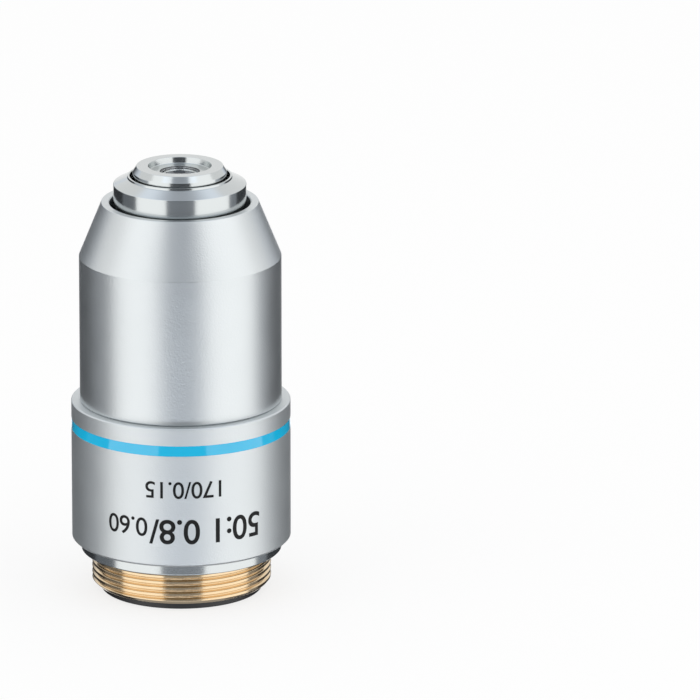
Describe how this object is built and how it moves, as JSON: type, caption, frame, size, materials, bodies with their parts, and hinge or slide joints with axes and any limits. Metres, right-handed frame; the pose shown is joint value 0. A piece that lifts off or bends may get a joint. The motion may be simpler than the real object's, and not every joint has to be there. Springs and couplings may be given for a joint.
{
  "type": "plan microscope objective",
  "caption": "Plan achromat microscope objective with a spring-loaded lens tube, satin chrome barrel, blue magnification band and brass mounting thread.",
  "frame": {"origin": "centre of the rear ring's face, the lowest face of the objective when it stands on its thread end", "axes": "+Z along the optical axis, from the mounting thread to the front lens; +Y towards the guide screw"},
  "size_m": [0.0247, 0.0246, 0.0491],
  "materials": {
    "satin_chrome": "fine blasted satin chrome plate on brass",
    "polished_chrome": "turned and polished chrome plate",
    "bare_brass": "turned, bright; the shoulder above the thread is chrome plated",
    "black_anodised": "satin black anodised",
    "blue_enamel": "gloss enamel filled into a groove",
    "steel": "bright spring and screw steel",
    "nickel_brass": "nickel plated, smooth turned",
    "blackened_brass": "chemically blackened, matt",
    "crown_glass": "polished and coated",
    "flint_glass": "polished and coated"
  },
  "bodies": {
    "housing": {"thread_mount": "bare_brass", "rear_ring": "black_anodised", "base_collar": "satin_chrome", "magnification_band": "blue_enamel", "outer_barrel": "satin_chrome", "guide_screw": "steel", "spring_washer": "steel", "return_spring": "steel"},
    "nose": {"lens_tube": "nickel_brass", "nose_ring": "polished_chrome", "front_lens_mount": "polished_chrome", "front_lens": "crown_glass", "meniscus_cell": "blackened_brass", "meniscus_lens": "crown_glass", "front_doublet_cell": "blackened_brass", "front_crown_lens": "crown_glass", "front_flint_lens": "flint_glass", "short_spacer": "blackened_brass", "rear_doublet_cell": "blackened_brass", "rear_crown_lens": "crown_glass", "rear_flint_lens": "flint_glass", "long_spacer": "blackened_brass", "field_lens_cell": "blackened_brass", "field_lens": "flint_glass", "rear_stop": "black_anodised", "stack_ring": "blackened_brass"}
  },
  "joints": [
    {"name": "nose_slide", "type": "slide", "parent": "housing", "child": "nose", "axis": [0, 0, 1], "range_m": [-0.002, 0], "stiffness_N_per_m": 166, "springref_m": 0.012, "deforming": ["return_spring"]}
  ]
}
